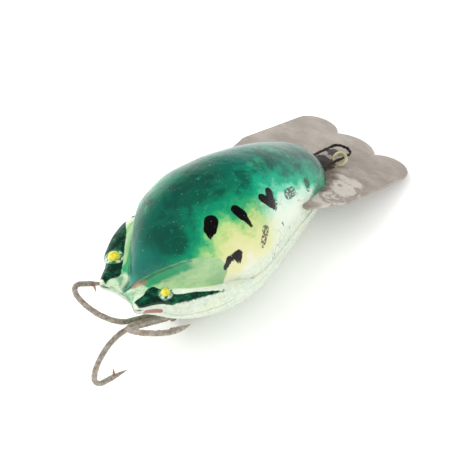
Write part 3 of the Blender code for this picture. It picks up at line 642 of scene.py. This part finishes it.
@once
def enamel():
    """Old glossy crackled lure paint: green back, yellow flank, white belly, black spots."""
    p = Paint("frog_enamel", BODY)
    clouds = p.noise(4.0, 5.0, 0.6, shift=3.0)
    fine = p.noise(0.8, 4.0, 0.6)
    back = p.attribute("back")
    level = p.math("ADD", back, p.drift(clouds, 46.0))
    level = p.math("MULTIPLY", p.math("ADD", level, 62.0), 0.01, clamp=True)
    rear = p.ramp(level, (
        (0.02, srgb(224, 228, 210)), (0.16, srgb(222, 220, 170)), (0.30, srgb(213, 216, 152)),
        (0.40, srgb(178, 206, 130)), (0.47, srgb(112, 186, 116)), (0.54, srgb(40, 156, 102)),
        (0.62, srgb(2, 134, 96)), (0.76, srgb(2, 104, 76)), (0.94, srgb(4, 84, 66))))
    front = p.ramp(level, (
        (0.05, srgb(214, 224, 208)), (0.30, srgb(220, 231, 214)), (0.44, srgb(190, 226, 206)),
        (0.51, srgb(100, 202, 166)), (0.58, srgb(12, 164, 126)), (0.72, srgb(2, 128, 102)),
        (0.92, srgb(4, 96, 80))))
    fore = p.math("ADD", p.attribute("fore"), p.drift(clouds, 0.5))
    color = p.mix(p.step(fore, 0.15, 0.85), rear, front)
    # Dark and bright clouds on the back
    on_back = p.step(level, 0.62, 0.74)
    blotch = p.step(p.noise(6.5, 4.0, 0.62, warp=0.6, shift=11.0), 0.47, 0.60)
    color = p.mix(p.math("MULTIPLY", on_back, p.over(blotch, 0.62)), color, srgb(8, 58, 48))
    glow = p.step(p.noise(5.0, 5.0, 0.65, shift=23.0), 0.57, 0.68)
    color = p.mix(p.math("MULTIPLY", on_back, p.over(glow, 0.55)), color, srgb(24, 156, 106))
    # Teal at the beak, paler at its very tip as a painted highlight
    beak = p.step(p.attribute("tail"), 0.0, 1.0)
    color = p.coat(color, srgb(32, 112, 98), beak, 0.8)
    color = p.mix(p.step(p.attribute("tail"), 1.1, 1.5), color, srgb(70, 165, 150))
    # White sides below the claws and the flank
    white = p.mix(p.step(fine, 0.35, 0.7), srgb(200, 216, 194), srgb(222, 227, 212))
    white = p.mix(p.over(p.step(clouds, 0.5, 0.72), 0.5), white, srgb(222, 224, 184))
    side = p.mask("flank", 1.0, 2.4, 1.3)
    color = p.mix(side, color, white)
    # Sage hollows beside the hood, greener under the rim
    hollow_tone = p.mix(p.step(p.noise(3.0, 4.0, 0.6, stretch=(0.5, 1, 1)), 0.35, 0.7),
                        srgb(140, 184, 132), srgb(172, 203, 150))
    color = p.mix(p.mask("hollow", 0.15, 1.0, 0.15), color, hollow_tone)
    shade = p.math("ADD", p.attribute("rim_shade"), p.drift(clouds, 2.2))
    color = p.coat(color, srgb(22, 146, 98), p.step(shade, -0.35, 0.45), 0.92)
    shelf_tone = p.mix(p.step(p.noise(2.2, 3.0, shift=5.0), 0.45, 0.6),
                       srgb(190, 212, 180), srgb(120, 168, 132))
    color = p.mix(p.mask("shelf", 0.3, 1.2, 0.25), color, shelf_tone)
    # Painted shadow: a dark line just under the rim, where the hood overhangs
    color = p.coat(color, srgb(10, 52, 42), p.mask("rim_shadow_line", 0.2, 1.2, 0.2), 0.5)
    # Claws
    dark_green = p.mix(p.step(p.noise(1.6, 4.0, 0.6, shift=7.0), 0.45, 0.75),
                       srgb(8, 42, 31), srgb(20, 104, 70))
    color = p.mix(p.mask("claw", 0.22, 0.9, 0.12), color, dark_green)
    ring = p.mix(p.step(p.noise(0.9, 2.0), 0.38, 0.56), srgb(198, 218, 196), srgb(40, 112, 78))
    color = p.mix(p.mask("eye_ring", 0.35, 0.9, 0.2), color, ring)
    color = p.coat(color, srgb(158, 84, 84), p.mask("claw_blush", 0.15, 0.7, 0.12), 0.9)
    color = p.coat(color, srgb(160, 104, 90), p.mask("beak_blush", 0.3, 0.8, 0.35), 0.6)
    nose_green = p.mix(p.step(p.noise(1.5, 4.0, 0.6), 0.4, 0.65),
                       srgb(16, 104, 76), srgb(60, 160, 122))
    color = p.coat(color, nose_green, p.mask("nose_patch", 1.0, 2.2, 0.9), 0.9)
    # Spots: solid ones, and worn ones that are only flecks
    black = p.mask("spot", 0.14, 0.7, 0.10)
    color = p.mix(black, color, srgb(9, 8, 9))
    flecks = p.math("MULTIPLY", p.mask("worn", 0.2, 0.7, 0.1),
                    p.step(p.noise(0.5, 3.0, 0.6), 0.40, 0.47))
    color = p.coat(color, srgb(38, 44, 32), flecks, 0.85)
    # Fine cracks, and pale specks
    crazing = p.math("MULTIPLY", p.cracks(3.4, 0.030),
                     p.step(p.noise(5.0, 2.0, shift=9.0), 0.50, 0.60))
    color = p.coat(color, srgb(60, 66, 50), crazing, 0.45)
    from_seam = p.math("ADD", p.attribute("seam"), p.over(p.noise(2.5), 0.5))
    from_seam = p.math("ABSOLUTE", p.math("SUBTRACT", from_seam, 1.6))
    on_seam = p.math("SUBTRACT", 1.0, p.step(from_seam, 0.05, 0.14))
    seam_line = p.math("MULTIPLY", on_seam, p.step(p.noise(3.0, 4.0, 0.7), 0.42, 0.52))
    color = p.coat(color, srgb(84, 96, 80), seam_line, 0.5)
    specks = p.step(p.noise(0.35, 1.0, 0.4, shift=4.0), 0.74, 0.78)
    color = p.coat(color, srgb(196, 224, 200), specks, 0.35)
    height = p.math("ADD", p.noise(1.8, 3.0, 0.5), p.over(fine, 0.25))
    height = p.math("SUBTRACT", height, p.over(crazing, 0.5))
    normal = p.bump(height, 0.10)
    rough = p.math("ADD", p.over(p.noise(2.4, 4.0), 0.16), 0.12)
    return p.set(base_color=color, roughness=rough, normal=normal, ior=1.42)


@once
def lip_plate():
    """Dull taupe plate with brown painted shade where it meets the nose, a pale flaky patch and
    black rust by the ring.
    """
    p = Paint("stained_and_shaded_lip_plate", LIP)
    clouds = p.noise(7.0, 5.0, 0.6, stretch=(1, 0.7, 1))
    color = p.mix(p.step(clouds, 0.35, 0.68), srgb(150, 140, 130), srgb(176, 167, 157))
    streaks = p.step(p.noise(3.2, 5.0, 0.62, warp=0.8, shift=4.0), 0.50, 0.70)
    color = p.coat(color, srgb(140, 128, 118), streaks, 0.4)
    grain = p.noise(0.5, 3.0, 0.7, stretch=(0.3, 1, 1), shift=8.0)
    color = p.coat(color, srgb(110, 100, 92), p.step(grain, 0.4, 0.7), 0.12)
    flaky_places = p.math("MAXIMUM", p.near((-23.0, -10.6, 0), 5.2, 2.4, 1.0),
                          p.near((-30.5, -13.0, 0), 3.6, 2.0, 1.0))
    flakes = p.noise(3.6, 6.0, 0.62, warp=1.2, shift=13.0)
    flaked = p.math("MULTIPLY", flaky_places, p.step(flakes, 0.44, 0.47))
    color = p.coat(color, srgb(212, 205, 196), flaked, 0.7)
    edge = p.math("MULTIPLY", flaked, p.math("SUBTRACT", 1.0, p.step(flakes, 0.47, 0.50)))
    color = p.coat(color, srgb(110, 92, 76), edge, 0.6)
    # Painted shade: brown darkening of the plate beside the nose, where the body shades it
    nose_shade = p.math("MAXIMUM", p.near((-22.5, -3.6, 0), 4.6, 1.8, 2.4),
                   p.near((-24.0, 4.0, 0), 5.0, 2.0, 3.0))
    nose_shade = p.math("MAXIMUM", nose_shade, p.near((-27.0, -8.2, 0), 2.6, 1.4, 1.8))
    color = p.coat(color, srgb(92, 76, 62), nose_shade, 0.7)
    black = p.math("MAXIMUM", p.near((-17.4, -1.6, 0), 3.0, 2.6, 0.5, shift=6.0),
                   p.near((-12.0, 0.2, 0), 1.7, 1.6, 0.5, shift=2.0))
    black = p.math("MAXIMUM", black, p.near((-20.6, -2.4, 0), 2.2, 2.0, 0.5, shift=9.0))
    color = p.coat(color, srgb(30, 24, 20), black, 0.92)
    pits = p.step(p.noise(0.45, 2.0, 0.5, shift=3.0), 0.68, 0.74)
    color = p.coat(color, srgb(96, 84, 74), pits, 0.4)
    height = p.math("ADD", p.noise(1.6, 5.0, 0.6), p.over(flaked, 0.5))
    rough = p.math("ADD", p.over(clouds, 0.2), p.math("ADD", p.over(nose_shade, 0.2), 0.34))
    return p.set(base_color=color, metallic=0.2, roughness=rough, normal=p.bump(height, 0.12))


def wire_material(name, dark, light, rust, rust_amount, roughness, metallic):
    """Drawn wire with clouds of tarnish and scattered rust."""
    p = Paint(name)
    clouds = p.noise(0.8, 5.0, 0.7)
    color = p.mix(p.step(clouds, 0.3, 0.7), dark, light)
    rusty = p.step(p.noise(2.2, 5.0, 0.7, shift=9.0),
                   0.66 - 0.3 * rust_amount, 0.72 - 0.2 * rust_amount)
    color = p.coat(color, rust, rusty, 0.8)
    speck = p.step(p.noise(0.22, 2.0, 0.5, shift=5.0), 0.58, 0.66)
    color = p.coat(color, light, speck, 0.5)
    height = p.math("ADD", p.noise(0.35, 4.0, 0.7), p.over(p.noise(1.2, 3.0), 0.6))
    rough = p.math("ADD", p.over(clouds, 0.2), roughness)
    return p.set(base_color=color, metallic=metallic, roughness=rough, normal=p.bump(height, 0.12))


@once
def hook_rust():
    return wire_material("rusty_hook_wire", srgb(116, 106, 94), srgb(182, 173, 160),
                         srgb(134, 108, 84), 0.35, 0.42, 0.25)


@once
def barb_rust():
    return wire_material("red_rust", srgb(138, 84, 66), srgb(186, 148, 130), srgb(116, 60, 46),
                         0.4, 0.6, 0.1)


@once
def tarnished_steel():
    return wire_material("tarnished_steel", srgb(62, 54, 46), srgb(124, 112, 98), srgb(92, 62, 44),
                         0.3, 0.4, 0.7)


@once
def blackened_wire():
    return wire_material("blackened_wire", srgb(24, 19, 16), srgb(66, 54, 46), srgb(70, 42, 28),
                         0.45, 0.45, 0.4)


@once
def old_brass():
    return wire_material("old_brass", srgb(188, 180, 132), srgb(222, 216, 176), srgb(132, 116, 70),
                         0.1, 0.3, 0.3)


@once
def plated_screw():
    return wire_material("plated_screw", srgb(116, 110, 98), srgb(176, 170, 156), srgb(104, 78, 56),
                         0.1, 0.3, 0.85)


@once
def cast_lead():
    return wire_material("cast_lead", srgb(84, 84, 88), srgb(128, 128, 132), srgb(100, 98, 96),
                         0.1, 0.5, 0.6)


@once
def eye_paint():
    """Yellow enamel dome in patchy tone, with darker chips."""
    p = Paint("yellow_eye_enamel")
    clouds = p.noise(0.9, 4.0, 0.6)
    color = p.mix(p.step(clouds, 0.38, 0.64), srgb(196, 186, 34), srgb(232, 222, 72))
    chips = p.step(p.noise(0.4, 4.0, 0.7, shift=4.0), 0.62, 0.68)
    color = p.coat(color, srgb(120, 122, 44), chips, 0.5)
    return p.set(base_color=color, roughness=p.math("ADD", p.over(clouds, 0.15), 0.14),
                 normal=p.bump(p.noise(0.7, 3.0), 0.08), coat_weight=0.5, coat_roughness=0.05)


@once
def stalk_paint():
    """Mint white paint on the foot of an eye, mottled with dark green."""
    p = Paint("eye_stalk_enamel")
    color = p.mix(p.step(p.noise(0.8, 4.0, 0.6), 0.42, 0.60), srgb(36, 92, 66), srgb(196, 222, 200))
    return p.set(base_color=color, roughness=0.2, normal=p.bump(p.noise(0.6, 3.0), 0.08))


# ---------------------------------------------------------------- wire and turned pieces

def curved(points, per, closed=False):
    """More points on a smooth curve through the given ones."""
    points = [Vector(q) for q in points]
    count = len(points)
    dense = []
    for i in range(count if closed else count - 1):
        if closed:
            a, b, c, d = (points[(i + k) % count] for k in (-1, 0, 1, 2))
        else:
            a, b = points[max(i - 1, 0)], points[i]
            c, d = points[i + 1], points[min(i + 2, count - 1)]
        for k in range(per):
            t = k / per
            dense.append(0.5 * (2 * b + (c - a) * t + (2 * a - 5 * b + 4 * c - d) * t * t
                                + (3 * b - a - 3 * c + d) * t ** 3))
    if not closed:
        dense.append(points[-1])
    return dense


def tube_mesh(path, radius, sides=18, closed=False, wear=0.0):
    """Round wire along a path; radius is one number or one for each point of the path."""
    count = len(path)
    radii = list(radius) if isinstance(radius, (list, tuple)) else [radius] * count
    tangents = []
    for i in range(count):
        before = path[(i - 1) % count] if closed else path[max(i - 1, 0)]
        after = path[(i + 1) % count] if closed else path[min(i + 1, count - 1)]
        tangents.append((after - before).normalized())
    side = tangents[0].orthogonal().normalized()
    vertices = []
    for point, tangent, r in zip(path, tangents, radii):
        side = (side - tangent * side.dot(tangent)).normalized()
        up = tangent.cross(side)
        for k in range(sides):
            a = 2 * math.pi * k / sides
            out = side * math.cos(a) + up * math.sin(a)
            swell = 1 + wear * noise((point + out * r) * 1.6)
            vertices.append(point + out * (r * swell))
    faces = []
    for i in range(count if closed else count - 1):
        for k in range(sides):
            a, b = i * sides + k, i * sides + (k + 1) % sides
            after = (i + 1) % count * sides
            faces.append((a, b, after + (k + 1) % sides, after + k))
    if not closed:
        faces.append(tuple(range(sides)))
        faces.append(tuple((count - 1) * sides + k for k in range(sides)))
    return vertices, faces


def wire(name, path, radius, place, material, closed=False, wear=0.0, **riding):
    vertices, faces = tube_mesh(path, radius, closed=closed, wear=wear)
    obj = mesh_object(name, vertices, faces, place, **riding)
    sharpen(obj, 50)
    obj.data.materials.append(material)
    return obj


def turned_piece(name, profile, place, material, sides=40, **riding):
    """Solid turned about z from (radius, z) points."""
    vertices = []
    for r, z in profile:
        for k in range(sides):
            a = 2 * math.pi * k / sides
            vertices.append((r * math.cos(a), r * math.sin(a), z))
    faces = []
    for i in range(len(profile) - 1):
        for k in range(sides):
            a, b = i * sides + k, i * sides + (k + 1) % sides
            faces.append((a, b, b + sides, a + sides))
    faces.append(tuple(range(sides)))
    faces.append(tuple((len(profile) - 1) * sides + k for k in range(sides)))
    obj = mesh_object(name, vertices, faces, place, **riding)
    sharpen(obj, 40)
    obj.data.materials.append(material)
    return obj


def arc(cx, cy, radius, start, end, count):
    return [(cx + radius * math.cos(math.radians(a)), cy + radius * math.sin(math.radians(a)))
            for a in steps(start, end, count)]


# ---------------------------------------------------------------- the lip and the line tie

def lip_outline():
    """Edge of the lip, with three lobes at the front, at even steps."""
    lobe_x, lobe_y = -LOBE_RADIUS, LIP_HALF_WIDTH - LOBE_RADIUS
    dip = math.asin((lobe_y - CUSP_Y) / LOBE_RADIUS)
    cusp_x = lobe_x + LOBE_RADIUS * math.cos(dip)
    mid_radius = (CUSP_Y ** 2 + cusp_x ** 2) / (2 * abs(cusp_x))
    spread = math.degrees(math.asin(CUSP_Y / mid_radius))
    left = arc(-mid_radius, 0, mid_radius, 0, spread, 24)
    left += arc(lobe_x, lobe_y, LOBE_RADIUS, -math.degrees(dip), 90, 48)[1:]
    left += arc(-LIP_SIDE_END, LIP_HALF_WIDTH - 4.0, 4.0, 90, 102, 5)
    left += [(-LIP_SHOULDER[0], LIP_SHOULDER[1]), (-LIP_SHOULDER[0] - 0.6, LIP_TONGUE[1]),
             (-LIP_TONGUE[0], LIP_TONGUE[1])]
    right = [(x, -y) for x, y in reversed(left[1:])]
    return right + left


def build_lip():
    """Flat plate with a slightly rolled edge."""
    outline = [Vector((x, y, 0)) for x, y in lip_outline()]
    count = len(outline)
    inward = []
    for i in range(count):
        along = (outline[(i + 1) % count] - outline[i - 1]).normalized()
        inward.append(Vector((-along.y, along.x, 0)))
    half = LIP_THICKNESS / 2
    vertices = []
    layers = ((0.30, -half), (0.10, -0.8 * half), (0.0, -0.4 * half), (0.0, 0.4 * half),
              (0.10, 0.8 * half), (0.30, half))
    for inset, z in layers:
        for point, turn in zip(outline, inward):
            vertices.append(point + turn * inset + Vector((0, 0, z)))
    faces = []
    for i in range(len(layers) - 1):
        for k in range(count):
            a, b = i * count + k, i * count + (k + 1) % count
            faces.append((a, b, b + count, a + count))
    faces.append(tuple(range(count)))
    faces.append(tuple((len(layers) - 1) * count + k for k in range(count)))
    plate = mesh_object("lip_plate", vertices, faces, LIP, slot="lip_metal",
                        replaces=("diving_lip",))
    sharpen(plate, 32)
    plate.data.materials.append(lip_plate())


def bail_path(back_x):
    def up(x):
        return LIP_THICKNESS / 2 + BAIL_RISE + 0.06 * (x - back)
    back = (back_x - LIP_FRONT[0]) / math.cos(math.radians(LIP_PITCH))
    front = (BAIL_FRONT_X - LIP_FRONT[0]) / math.cos(math.radians(LIP_PITCH))
    half = (BAIL_LEFT_Y - BAIL_RIGHT_Y) / 2
    middle = (BAIL_LEFT_Y + BAIL_RIGHT_Y) / 2
    bend_x = front - half
    flat = [(back + (bend_x - back) * i / 6, BAIL_RIGHT_Y) for i in range(6)]
    flat += arc(bend_x, middle, half, -90, 90, 12)
    flat += [(bend_x - (bend_x - back) * i / 6, BAIL_LEFT_Y) for i in range(1, 7)]
    return [Vector((x, y, up(x))) for x, y in flat]


def build_line_tie():
    path = bail_path(BAIL_BACK_X)
    wire("line_tie_wire", curved(path, 5), BAIL_WIRE, LIP, blackened_wire(), wear=0.6,
         slot="dark_wire", replaces=("line_tie_bail",))
    pivot = path[5] - Vector((TIE_RING_BACK, 0, 0))
    place = turned_frame(LIP, pivot, TIE_RING_TURN)
    # A split ring: the wire goes round twice. The second turn lies beside the first and only
    # a little inside it, so that it clears the wire loop.
    ring = []
    for degrees in range(0, 721, 6):
        turn = unit((degrees - 300) / 120)
        r = TIE_RING_RADIUS + 0.04 - SPLIT_STEP_IN * turn
        a = math.radians(degrees)
        aside = SPLIT_STEP_ASIDE * (turn - 0.5)
        ring.append(Vector((aside, r * math.cos(a), r * math.sin(a))))
    wire("line_tie_brass_ring", ring, TIE_RING_WIRE - 0.05, place, old_brass(), wear=0.12,
         body="tie_ring", slot="brass", replaces=("line_tie_ring",))


# ---------------------------------------------------------------- eyes, screws, ballast

def build_eye(side):
    place = BODY @ Matrix.Translation(Vector((EYE_X, side * EYE_Y, EYE_SEAT)) * MM)
    name = "left" if side > 0 else "right"
    rim = EYE_HEAD_BASE + 0.8
    foot = [(0.01, -0.9), (1.0, -0.9), (1.05, EYE_HEAD_BASE - 0.2),
            (EYE_RADIUS - 0.1, EYE_HEAD_BASE), (EYE_RADIUS, EYE_HEAD_BASE + 0.15),
            (EYE_RADIUS - 0.03, rim - 0.25), (EYE_RADIUS - 0.25, rim)]
    turned_piece(f"eye_stalk_{name}", foot, place, stalk_paint(), slot="eye_enamel")
    crown = EYE_RADIUS - 0.08 if side > 0 else EYE_RADIUS - 0.42
    dome = [(crown - 0.04, rim - 0.3), (crown + 0.02, rim - 0.12)]
    dome += [(crown * math.cos(math.radians(a)), rim - 0.05 + 1.02 * math.sin(math.radians(a)))
             for a in range(6, 90, 7)]
    dome.append((0.01, rim + 0.97))
    turned_piece(f"eye_dome_{name}", dome, place, eye_paint(), slot="eye_enamel",
                 replaces=(f"eye_{name}",))


def build_screw(side):
    name = "left" if side > 0 else "right"
    seat = lip_surface_z(SCREW_X) - 4.7
    head = SCREW_HEAD_RADIUS
    profile = [(0.01, seat - 1.1), (0.3 * head, seat - 1.1), (0.32 * head, seat - 1.6),
               (0.7 * head, seat - 1.55), (0.92 * head, seat - 1.25), (head, seat - 0.9),
               (head, seat - 0.3), (SCREW_RADIUS, seat - 0.3)]
    for k in range(24):
        profile.append((SCREW_RADIUS - (0.16 if k % 2 else 0.0), seat + 0.25 * k))
    profile += [(0.6, seat + 6.6), (0.1, seat + 8.2)]
    place = BODY @ Matrix.Translation(Vector((SCREW_X, side * SCREW_Y, 0)) * MM)
    turned_piece(f"lip_screw_body_{name}", profile, place, plated_screw(), slot="plated_screw",
                 replaces=(f"lip_screw_{name}",))


def build_ballast():
    profile = [(0.01, -BALLAST_HALF_LENGTH)]
    for degrees in range(0, 91, 15):
        a = math.radians(degrees)
        profile.append((BALLAST_RADIUS - BALLAST_ROUND * (1 - math.sin(a)),
                        -BALLAST_HALF_LENGTH + BALLAST_ROUND * (1 - math.cos(a))))
    profile += [(r, -z) for r, z in reversed(profile)]
    place = turned_frame(BODY, BALLAST_PLACE, (0, 90, 0))
    turned_piece("lead_slug", profile, place, cast_lead(), slot="lead",
                 replaces=("ballast_weight",))


# ---------------------------------------------------------------- hanger, ring and treble

def build_hanger():
    r = HANGER_LOOP_RADIUS
    path = [Vector((0, 0, z)) for z in (-4.0, -6.0, -8.0, HANGER_LOOP_Z + r + 0.8)]
    for i in range(1, 19):
        angle = math.radians(98 - 17.0 * i)
        path.append(Vector((r * math.cos(angle), 0, HANGER_LOOP_Z + r * math.sin(angle))))
    place = turned_frame(BODY, (HANGER_X, 0, 0), (0, 0, HOOK_RING_YAW))
    wire("hanger_screw_eye", curved(path, 4), HANGER_WIRE, place, tarnished_steel(), wear=0.08,
         slot="tarnished_steel", replaces=("hook_hanger",))


def build_hook_ring():
    ring = [Vector((HOOK_RING_RADIUS * (math.cos(a) - 1), HOOK_RING_RADIUS * math.sin(a), 0))
            for a in (math.radians(d) for d in range(0, 360, 4))]
    place = turned_frame(BODY, (HANGER_X, 0, HOOK_RING_Z), (0, 0, HOOK_RING_YAW))
    wire("hook_link_ring", ring, HOOK_RING_WIRE, place, tarnished_steel(), closed=True, wear=0.08,
         body="hook_link", slot="tarnished_steel", replaces=("hook_ring",))


def hook_wire(angle, start_x):
    """Whole wire of one hook from the start of its shank to its point, and its radii."""
    out = Vector((0, math.cos(math.radians(angle)), math.sin(math.radians(angle))))
    wide, tight = HOOK_BEND_RADIUS, POINT_BEND_RADIUS
    shank_end = wide - HOOK_LENGTH
    change = math.radians(BEND_CHANGE)
    bend = []
    for turn in range(0, POINT_TURN + 1, 4):
        a = math.radians(turn)
        if turn < BEND_CHANGE:
            x, d = -wide * math.sin(a), wide - wide * math.cos(a)
        else:
            x = -(wide - tight) * math.sin(change) - tight * math.sin(a)
            d = wide - (wide - tight) * math.cos(change) - tight * math.cos(a)
        bend.append(Vector((shank_end + x, 0, 0)) + out * (HOOK_SHANK_OFFSET + d))
    shank = [Vector((start_x + (bend[0].x - start_x) * i / 16, 0, 0)) + out * HOOK_SHANK_OFFSET
             for i in range(16)]
    heading = (bend[-1] - bend[-2]).normalized()
    spear = [bend[-1] + heading * (POINT_LENGTH * i / 24) for i in range(1, 25)]
    path = shank + bend + spear
    radii = [HOOK_WIRE] * (len(path) - 15)
    radii += [HOOK_WIRE + (POINT_TIP - HOOK_WIRE) * (i / 15) ** 1.15 for i in range(1, 16)]
    return path, radii, out


def barb_path(path, out):
    root = path[-BARB_FROM_POINT]
    start = root + Vector((1.0, 0, 0))
    end = root + Vector((-0.5, 0, 0)) - out * BARB_HEIGHT
    return [start, start.lerp(end, 0.35), start.lerp(end, 0.7), end]


def build_treble():
    yaw = math.radians(HOOK_RING_YAW)
    eye_point = (HANGER_X - HOOK_RING_RADIUS * (1 + math.cos(yaw)),
                 -HOOK_RING_RADIUS * math.sin(yaw), HOOK_EYE_Z)
    place = turned_frame(BODY, eye_point, (0, HOOK_PITCH, HOOK_YAW))
    riding = {"body": "treble", "slot": "hook_wire"}
    loop = [Vector((HOOK_EYE_RADIUS * math.cos(a), 0, HOOK_EYE_RADIUS * math.sin(a)))
            for a in (math.radians(200 - 10 * i) for i in range(31))]
    lower, radii, lower_out = hook_wire(LOWER_HOOK_ANGLE, -HOOK_EYE_RADIUS - 1.3)
    wire("treble_single_wire", loop[::-1] + lower, [HOOK_WIRE] * len(loop) + radii, place,
         hook_rust(), wear=0.16, replaces=("treble_eyed_hook",), **riding)
    left, left_radii, left_out = hook_wire(LEFT_HOOK_ANGLE, -HOOK_EYE_RADIUS - 2.2)
    right, right_radii, right_out = hook_wire(RIGHT_HOOK_ANGLE, -HOOK_EYE_RADIUS - 2.2)
    wire("treble_double_wire", left[::-1] + right, left_radii[::-1] + right_radii, place,
         hook_rust(), wear=0.16, replaces=("treble_double_hook",), **riding)
    barb_radii = [0.40 - 0.035 * i for i in range(10)]
    for name, path, out in (("lower", lower, lower_out), ("left", left, left_out),
                            ("right", right, right_out)):
        wire(f"barb_{name}", curved(barb_path(path, out), 3), barb_radii, place,
             barb_rust(), wear=0.15, **riding)


# ---------------------------------------------------------------- setting, light and camera

def build_floor():
    mesh = bpy.data.meshes.new("table_top")
    size = FLOOR_SIZE
    corners = [(-size, -size, 0), (size, -size, 0), (size, size, 0), (-size, size, 0)]
    mesh.from_pydata(corners, [], [(0, 1, 2, 3)])
    floor = bpy.data.objects.new("table_top", mesh)
    bpy.context.scene.collection.objects.link(floor)
    material = bpy.data.materials.new("white_paper")
    material.use_nodes = True
    shader = material.node_tree.nodes["Principled BSDF"]
    shader.inputs["Base Color"].default_value = (0.93, 0.93, 0.92, 1)
    shader.inputs["Roughness"].default_value = 0.9
    shader.inputs["Emission Color"].default_value = (1, 1, 1, 1)
    shader.inputs["Emission Strength"].default_value = FLOOR_GLOW
    mesh.materials.append(material)


def area_light(name, place, target, size, power):
    data = bpy.data.lights.new(name, "AREA")
    data.size = size
    data.energy = power
    light = bpy.data.objects.new(name, data)
    light.location = place
    light.visible_glossy = False
    light.rotation_euler = (Vector(target) - Vector(place)).to_track_quat("-Z", "Y").to_euler()
    bpy.context.scene.collection.objects.link(light)


def build_lights():
    world = bpy.data.worlds.new("white_room")
    bpy.context.scene.world = world
    world.use_nodes = True
    background = world.node_tree.nodes["Background"]
    background.inputs["Color"].default_value = (1.0, 1.0, 1.0, 1)
    # In the gloss the room is dim overhead and bright only near the horizon
    tree = world.node_tree
    direction = tree.nodes.new("ShaderNodeTexCoord")
    split = tree.nodes.new("ShaderNodeSeparateXYZ")
    tree.links.new(direction.outputs["Generated"], split.inputs[0])
    overhead = tree.nodes.new("ShaderNodeMapRange")
    tree.links.new(split.outputs["Z"], overhead.inputs["Value"])
    overhead.inputs["From Min"].default_value = 0.05
    overhead.inputs["From Max"].default_value = 0.45
    overhead.inputs["To Min"].default_value = HORIZON_REFLECTED
    overhead.inputs["To Max"].default_value = WORLD_REFLECTED
    path = tree.nodes.new("ShaderNodeLightPath")
    strength = tree.nodes.new("ShaderNodeMix")
    tree.links.new(path.outputs["Is Glossy Ray"], strength.inputs["Factor"])
    strength.inputs["A"].default_value = WORLD_STRENGTH
    tree.links.new(overhead.outputs[0], strength.inputs["B"])
    tree.links.new(strength.outputs["Result"], background.inputs["Strength"])
    bpy.context.scene.view_settings.view_transform = "Standard"
    area_light("key_light", KEY_PLACE, (0, 0, 0.01), KEY_SIZE, KEY_POWER)


def build_camera():
    azimuth, elevation = math.radians(CAMERA_AZIMUTH), math.radians(CAMERA_ELEVATION)
    back = Vector((math.sin(azimuth) * math.cos(elevation),
                   -math.cos(azimuth) * math.cos(elevation), math.sin(elevation)))
    turn = (-back).to_track_quat("-Z", "Y").to_matrix().to_4x4()
    data = bpy.data.cameras.new("camera")
    data.sensor_width = CAMERA_SENSOR
    data.lens = CAMERA_LENS
    camera = bpy.data.objects.new("camera", data)
    camera.matrix_world = BODY @ Matrix.Translation(Vector(CAMERA_PLACE) * MM) @ turn
    bpy.context.scene.collection.objects.link(camera)
    bpy.context.scene.camera = camera


build_body()
build_lip()
build_line_tie()
for side_sign in (-1, 1):
    build_eye(side_sign)
    build_screw(side_sign)
build_ballast()
build_hanger()
build_hook_ring()
build_treble()
build_floor()
build_lights()
build_camera()
